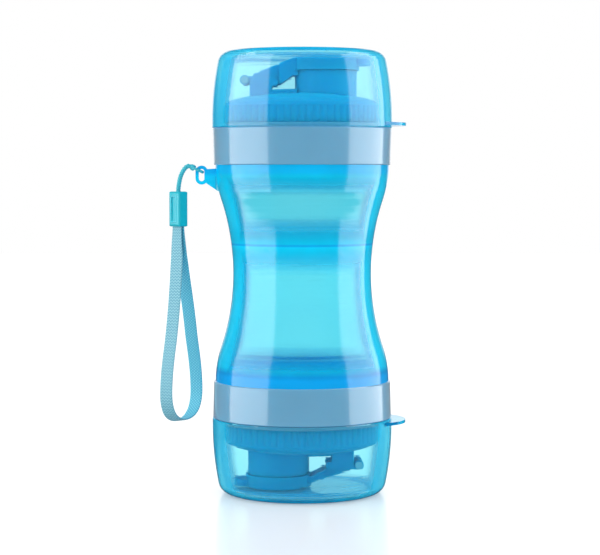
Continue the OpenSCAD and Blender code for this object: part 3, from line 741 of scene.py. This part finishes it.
class BOTTLE_OT_stage(bpy.types.Operator):
    """Set the camera, the walls, the white floor and the softboxes"""

    bl_idname = "bottle.stage"
    bl_label = "Set the stage"

    def execute(self, context):
        studio = context.scene.bottle_studio
        context.scene.view_settings.view_transform = "Standard"
        lens = bpy.data.cameras.new("stage_camera")
        lens.lens = studio.lens
        lens.sensor_width = 36
        lens.sensor_fit = "HORIZONTAL"
        lens.clip_start = 0.01
        camera = bpy.data.objects.new("stage_camera", lens)
        camera.location = studio.camera_at
        camera.rotation_euler = (math.pi / 2 - studio.camera_tilt, 0, 0)
        context.scene.collection.objects.link(camera)
        context.scene.camera = camera
        self.light_walls(context, studio.ambient)
        self.lay_floor(context)
        self.lay_film(context)
        for side, start, end in SOFTBOXES:
            self.softbox(context, side + "_softbox", start, end, studio.softbox)
            self.card(context, side + "_card", start, end, studio.card)
        return {"FINISHED"}

    def light_walls(self, context, ambient):
        """White walls, of which only the far one is bright in the bottle's mirror images."""
        world = bpy.data.worlds.new("stage_walls")
        context.scene.world = world
        mix = Mix(world)
        camera, through, glossy, depth = light_path(
            mix, "Is Camera Ray", "Is Transmission Ray", "Is Glossy Ray", "Transparent Depth"
        )
        way = mix.node("ShaderNodeTexCoord", out=0)
        back = mix.node("ShaderNodeSeparateXYZ", None, {0: way}, out=1)
        surroundings = ease(mix, back, *DIM_BAND, NEAR_DIM, FAR_DIM) + ease(mix, back, *FAR_WALL)
        by_floor = through_film(depth)
        plain = greatest(mix, camera, through)
        mirrored = glossy * (1 - plain) * (surroundings * (1 - by_floor) + by_floor)
        strength = plain + mirrored + (1 - plain) * (1 - glossy) * ambient
        light = mix.node("ShaderNodeBackground", None, {"Color": WHITE, "Strength": strength})
        mix.node("ShaderNodeOutputWorld", None, {"Surface": light})

    def plane(self, context, name, level):
        """A flat square of the stage, with the nodes of its new material."""
        corners = [(x * FLOOR_HALF, y * FLOOR_HALF, level) for x, y in ((-1, -1), (1, -1), (1, 1), (-1, 1))]
        mesh = bpy.data.meshes.new(name)
        mesh.from_pydata(corners, [], [(0, 1, 2, 3)])
        plane = bpy.data.objects.new(name, mesh)
        context.scene.collection.objects.link(plane)
        material = bpy.data.materials.new(name)
        mesh.materials.append(material)
        return Mix(material)

    def lay_film(self, context):
        """A clear film over the floor, so that light that the floor mirrors can be told from the bottle's."""
        mix = self.plane(context, "stage_film", FILM_LEVEL)
        mix.node("ShaderNodeOutputMaterial", None, {"Surface": mix.node("ShaderNodeBsdfTransparent")})

    def lay_floor(self, context):
        """A white floor with the bottle's shadow and a soft mirror image. The bottle mirrors it dimly."""
        mix = self.plane(context, "stage_floor", FLOOR_LEVEL)
        camera, through, glossy = light_path(mix, "Is Camera Ray", "Is Transmission Ray", "Is Glossy Ray")
        shown = greatest(mix, camera, through)
        lit = mix.node("ShaderNodeBsdfDiffuse", None, {"Color": rgba([FLOOR_WHITE] * 3)})
        glow = mix.node("ShaderNodeEmission", None, {"Color": WHITE, "Strength": shown * FLOOR_GLOW})
        both = mix.node("ShaderNodeAddShader", None, {0: lit, 1: glow})
        polish = mix.node("ShaderNodeBsdfAnisotropic", None, {"Color": WHITE, "Roughness": 0.2})
        floor_seen = mix.node("ShaderNodeMixShader", None, {0: FLOOR_POLISH, 1: both, 2: polish})
        dim = mix.node("ShaderNodeEmission", None, {"Color": WHITE, "Strength": FLOOR_DIM})
        shader = mix.node("ShaderNodeMixShader", None, {0: glossy * (1 - through), 1: floor_seen, 2: dim})
        mix.node("ShaderNodeOutputMaterial", None, {"Surface": shader})

    def softbox(self, context, name, start, end, radiance):
        """A tall lamp between two bearings. The card stands for it in mirror images."""
        lamp = bpy.data.lights.new(name, "AREA")
        lamp.shape = "RECTANGLE"
        lamp.size = 2 * LAMP_AWAY * math.tan(math.radians((end - start) / 2))
        lamp.size_y = LAMP_TALL
        lamp.energy = radiance * math.pi * lamp.size * lamp.size_y
        softbox = bpy.data.objects.new(name, lamp)
        turn = math.radians((start + end) / 2)
        softbox.location = (-math.sin(turn) * LAMP_AWAY, -math.cos(turn) * LAMP_AWAY, LAMP_MIDDLE)
        softbox.rotation_euler = (math.pi / 2, 0, -turn)
        softbox.visible_camera = False
        softbox.visible_glossy = False
        context.scene.collection.objects.link(softbox)

    def card(self, context, name, start, end, radiance):
        """A bright upright card between two bearings, that only the bottle's mirror images show."""
        bearings = [math.radians(start + (end - start) * i / CARD_STEPS) for i in range(CARD_STEPS + 1)]
        corners = [
            (-math.sin(b) * CARD_AWAY, -math.cos(b) * CARD_AWAY, z)
            for b in bearings
            for z in (0.0, CARD_TALL)
        ]
        faces = [(2 * i, 2 * i + 2, 2 * i + 3, 2 * i + 1) for i in range(CARD_STEPS)]
        mesh = bpy.data.meshes.new(name)
        mesh.from_pydata(corners, [], faces)
        material = bpy.data.materials.new(name)
        mix = Mix(material)
        (depth,) = light_path(mix, "Transparent Depth")
        glow = mix.node("ShaderNodeEmission", None, {"Color": WHITE, "Strength": radiance})
        clear = mix.node("ShaderNodeBsdfTransparent")
        shader = mix.node("ShaderNodeMixShader", None, {0: through_film(depth), 1: glow, 2: clear})
        mix.node("ShaderNodeOutputMaterial", None, {"Surface": shader})
        mesh.materials.append(material)
        card = bpy.data.objects.new(name, mesh)
        for ray in ("camera", "diffuse", "transmission", "volume_scatter", "shadow"):
            setattr(card, "visible_" + ray, False)
        context.scene.collection.objects.link(card)


class BOTTLE_OT_webbing(bpy.types.Operator):
    """Weave the flat webbing of the wrist strap"""

    bl_idname = "bottle.webbing"
    bl_label = "Weave the webbing"

    def execute(self, context):
        strap = context.scene.bottle_strap
        width, thick = strap.width / MM, strap.thickness / MM
        pitch, columns = strap.weave / MM, strap.columns
        line = webbing_line(pitch / STITCH_ROWS)
        length = length_of(line)
        rings, stitches, along = [], [], 0.0
        across = COLUMN_POINTS * columns
        for i, point in enumerate(line):
            ahead = (line[min(i + 1, len(line) - 1)] - line[max(i - 1, 0)]).normalized()
            wide = width_dir(point.z)
            wide = (wide - ahead * wide.dot(ahead)).normalized()
            out = ahead.cross(wide).normalized()
            if i:
                along += (point - line[i - 1]).length
            ring = []
            for face in (1, -1):
                for k in range(across + 1):
                    u = (k / across - 0.5) * face
                    raised = self.stitch(u, along / pitch, columns, face)
                    edge = math.sqrt(max(0.0, 1 - abs(2 * u) ** EDGE_POWER))
                    height = edge * (thick / 2 - STITCH_H + STITCH_H * raised)
                    ring.append(point + wide * (u * width) + out * (face * height))
                    stitches.extend((raised, 0.0 if face == OUTER_FACE else 1.0, 0.0))
            rings.append(ring)
        piece = ring_mesh("wrist_webbing", [rings])
        piece.data.attributes.new("weave", "FLOAT_VECTOR", "POINT").data.foreach_set("vector", stitches)
        settle(piece, "strap", "strap_fabric", webbing_yarn(strap), "strap_webbing")
        tuple(line[0] * MM)
        round(length * MM, 3)
        [tuple(p * MM) for p in webbing_line(2.0)]
        return {"FINISHED"}

    @staticmethod
    def stitch(u, along, columns, face):
        """How far a stitch stands up, 0 to 1: in zigzags on the outer face and in rows on the inner one."""
        column = (u + 0.5) * columns
        part = column - math.floor(column)
        odd = int(math.floor(column)) % 2
        if face == OUTER_FACE:
            slant = part if odd else 1 - part
            return 0.5 + 0.5 * math.cos(math.tau * (along + 0.7 * slant))
        wave = 0.5 + 0.5 * math.cos(math.tau * (along + 0.5 * odd))
        return wave * math.sin(math.pi * min(1.0, max(0.0, part))) ** 0.5


class BOTTLE_OT_cord(bpy.types.Operator):
    """Braid the cord, its thin loop through the eyelet and the knot between them"""

    bl_idname = "bottle.cord"
    bl_label = "Braid the cord"

    def execute(self, context):
        strap = context.scene.bottle_strap
        material = yarn("cord_yarn", strap.cord, strap.cord_hollow_shade)
        route = smooth_path(CORD_ROUTE, 0.15)
        braid = braid_rings(route, core_r=0.72, strand_r=0.36, strands=8, lay=5.2)
        cord = ring_mesh("wrist_cord", [*braid, tube_rings(route, 0.7)])
        settle(cord, "strap", "strap_fabric", material, "strap_cord")
        turn = Matrix.Rotation(math.radians(LOOP_TILT), 3, "Y")
        arc = [
            Vector(LOOP_CENTRE) + turn @ Vector((LOOP_R * math.cos(a), LOOP_R * math.sin(a), 0))
            for a in [math.radians(LOOP_END * (i / 45 - 1)) for i in range(91)]
        ]
        braid = braid_rings(arc, core_r=0.42, strand_r=0.25, strands=6, lay=3.4)
        loop = ring_mesh("eyelet_loop", [*braid, tube_rings(arc, 0.42)])
        settle(loop, "bottle", "strap_fabric", material, "strap_loop")
        knot = ring_mesh("wrist_knot", self.knot_rings())
        material = yarn("knot_yarn", strap.cord, strap.cord_hollow_shade)
        settle(knot, "strap", "strap_fabric", material, "strap_knot")
        return {"FINISHED"}

    @staticmethod
    def knot_rings():
        """Two turns of the cord round a core, drawn tight."""
        turn = Matrix.Rotation(math.radians(LOOP_TILT), 3, "Y")
        middle = Vector(KNOT_CENTRE)
        wraps = []
        turns, length, steps = 2.3, 1.7, 96
        for i in range(steps + 1):
            t = i / steps
            a = math.tau * turns * t
            reach = 0.95 + 0.12 * math.sin(math.pi * t)
            place = Vector(((t - 0.5) * length, reach * math.cos(a), reach * math.sin(a)))
            wraps.append(middle + turn @ place)
        core = [middle + turn @ Vector((x, 0, 0)) for x in (-1.5, -0.9, 0, 0.9, 1.5)]
        return [tube_rings(wraps, 0.55, 12), tube_rings(core, 0.75, 12)]


class BOTTLE_OT_clamp(bpy.types.Operator):
    """Colour the strap's clamp and add the frame on its front, paler than the clamp as a painted highlight"""

    bl_idname = "bottle.clamp"
    bl_label = "Finish the clamp"

    def execute(self, context):
        strap = context.scene.bottle_strap
        material = moulded_plastic("clamp_plastic", strap.clamp, 0.28, 0.2, coat=0.3)
        give(material, "strap_clamp_front", "strap_clamp_back")
        # Painted highlight: the frame round the recess is paler than the clamp and stands for the light along
        # the recess's edge
        highlight_colour = [min(1, c * 1.25 + 0.06) for c in strap.clamp]
        rings = self.frame_rings(strap.frame / MM / 2)
        rim = ring_mesh("clamp_frame", [rings], closed=True)
        settle(rim, "strap", "clamp_plastic", moulded_plastic("frame_highlight_plastic", highlight_colour, 0.25, 0.2, coat=0.3))
        return {"FINISHED"}

    @staticmethod
    def frame_rings(radius):
        """Rings of the raised frame, a rounded rectangle round the recess on the clamp's front."""
        half_w, half_h = FRAME_HALF
        turn = Matrix.Rotation(-math.radians(CLAMP_YAW), 3, "Z")
        base = Vector((STRAP_X, 0, CLAMP_LOW + CLAMP_H / 2))
        rings = []
        for quarter, (sx, sz) in enumerate(((1, 1), (-1, 1), (-1, -1), (1, -1))):
            corner = Vector((sx * (half_w - FRAME_CORNER), -CLAMP_T / 2, sz * (half_h - FRAME_CORNER)))
            for i in range(7):
                a = math.radians(90 * quarter + 15 * i)
                out = Vector((math.cos(a), 0, math.sin(a)))
                middle = corner + FRAME_CORNER * out
                ring = [middle + radius * (out * c - Vector((0, s, 0))) for c, s in around(8)]
                rings.append([base + turn @ point for point in ring])
        return rings


class BOTTLE_OT_clear(bpy.types.Operator):
    """Give the cups and the two chambers their clear tinted plastic"""

    bl_idname = "bottle.clear"
    bl_label = "Finish the clear plastic"

    def execute(self, context):
        colours = context.scene.bottle_plastics
        give(
            clear_plastic(
                "body_plastic", colours.body, colours.body_depth, colours.body_density, colours.body_milk,
                colours.body_haze, colours.body_thick_haze, BODY_THICK, BODY_RIM, BODY_TONE, 0.11,
            ),
            "upper_chamber", "lower_chamber",
        )
        give(
            clear_plastic(
                "cup_plastic", colours.cup, colours.cup_depth, colours.cup_density, colours.cup_milk,
                colours.cup_haze, colours.cup_thick_haze, CUP_THICK, CUP_RIM, CUP_TONE, 0.02,
            ),
            "upper_cup", "lower_cup",
        )
        return {"FINISHED"}


class BOTTLE_OT_threads(bpy.types.Operator):
    """Cut the screw threads of the two necks"""

    bl_idname = "bottle.threads"
    bl_label = "Cut the threads"

    def execute(self, context):
        threads = context.scene.bottle_threads
        pitch, depth = threads.pitch / MM, threads.depth / MM
        steps = round(THREAD_STEPS * threads.turns)
        rise = steps * THREAD_RISE
        rings = []
        for i in range(steps + 1):
            a = math.tau * threads.turns * i / steps
            out = depth * min(1.0, i / rise, (steps - i) / rise) - THREAD_END_SINK
            z = UPPER_FACE - THREAD_DROP + pitch * a / math.tau
            profile = (
                (-THREAD_SINK, -THREAD_FOOT),
                (out, -THREAD_CREST),
                (out, THREAD_CREST),
                (-THREAD_SINK, THREAD_FOOT),
            )
            ahead = Vector((math.cos(a), math.sin(a), 0))
            rings.append([ahead * (NECK_R + r) + Vector((0, 0, z + up)) for r, up in profile])
        at_both_ends("thread", rings, ("bottle", "bottle"), "body_plastic")
        return {"FINISHED"}


class BOTTLE_OT_gates(bpy.types.Operator):
    """Add the small moulding points on the flip lids"""

    bl_idname = "bottle.gates"
    bl_label = "Add the moulding points"

    def execute(self, context):
        rings = [
            [Vector((SPOUT_X + r * c, r * s, UPPER_FACE + LID_TOP + z)) for c, s in around(GATE_SIDES)]
            for r, z in GATE_PROFILE
        ]
        at_both_ends("gate", rings, ("upper_lid", "lower_lid"), "cap_plastic")
        return {"FINISHED"}


class BOTTLE_OT_rings(bpy.types.Operator):
    """Give the collar rings their pastel plastic"""

    bl_idname = "bottle.rings"
    bl_label = "Finish the collar rings"

    def execute(self, context):
        colours = context.scene.bottle_plastics
        material = moulded_plastic("ring_plastic", colours.ring, 0.18, 0.05, coat=0.8, glow=0.5, sheen=0.45)
        give(material, "upper_ring", "lower_ring")
        return {"FINISHED"}


class BOTTLE_OT_caps(bpy.types.Operator):
    """Give the screw caps, flip lids, seals and hinge pins their finish"""

    bl_idname = "bottle.caps"
    bl_label = "Finish the caps"

    def execute(self, context):
        colours = context.scene.bottle_plastics
        give(
            moulded_plastic("cap_plastic", colours.cap, 0.4, 0.25, glow=0.8, gloss=0.06),
            "upper_cap", "lower_cap", "upper_lid", "lower_lid",
        )
        give(
            moulded_plastic("seal_silicone", colours.seal, 0.6, 0.3),
            "upper_gasket", "lower_gasket", "upper_lid_seal", "lower_lid_seal",
        )
        give(brushed_steel("hinge_steel", colours.pin), "upper_hinge_pin", "lower_hinge_pin")
        return {"FINISHED"}


class BOTTLE_PT_panel(bpy.types.Panel):
    """Shows the bottle's sizes, colours, studio settings and a button for each step"""

    bl_idname = "BOTTLE_PT_panel"
    bl_label = "Travel bottle"
    bl_space_type = "VIEW_3D"
    bl_region_type = "UI"
    bl_category = "Bottle"

    def draw(self, context):
        layout = self.layout
        for group in (
            context.scene.bottle_studio,
            context.scene.bottle_strap,
            context.scene.bottle_plastics,
            context.scene.bottle_threads,
        ):
            box = layout.box()
            for name in group.__annotations__:
                box.prop(group, name)
        for step in STEPS:
            layout.operator(step.bl_idname)


GROUPS = {
    "bottle_studio": StudioSet,
    "bottle_strap": StrapMake,
    "bottle_plastics": PlasticColours,
    "bottle_threads": ThreadSizes,
}
STEPS = (
    BOTTLE_OT_stage,
    BOTTLE_OT_cord,
    BOTTLE_OT_webbing,
    BOTTLE_OT_clamp,
    BOTTLE_OT_clear,
    BOTTLE_OT_threads,
    BOTTLE_OT_rings,
    BOTTLE_OT_caps,
    BOTTLE_OT_gates,
)


def register():
    for group in GROUPS.values():
        bpy.utils.register_class(group)
    for step in STEPS:
        bpy.utils.register_class(step)
    bpy.utils.register_class(BOTTLE_PT_panel)
    for name, group in GROUPS.items():
        setattr(bpy.types.Scene, name, bpy.props.PointerProperty(type=group))


def unregister():
    for name in GROUPS:
        delattr(bpy.types.Scene, name)
    for made in (BOTTLE_PT_panel, *reversed(STEPS), *reversed(GROUPS.values())):
        bpy.utils.unregister_class(made)


def main():
    register()
    for step in STEPS:
        area, name = step.bl_idname.split(".")
        getattr(getattr(bpy.ops, area), name)()


if __name__ == "__main__":
    main()
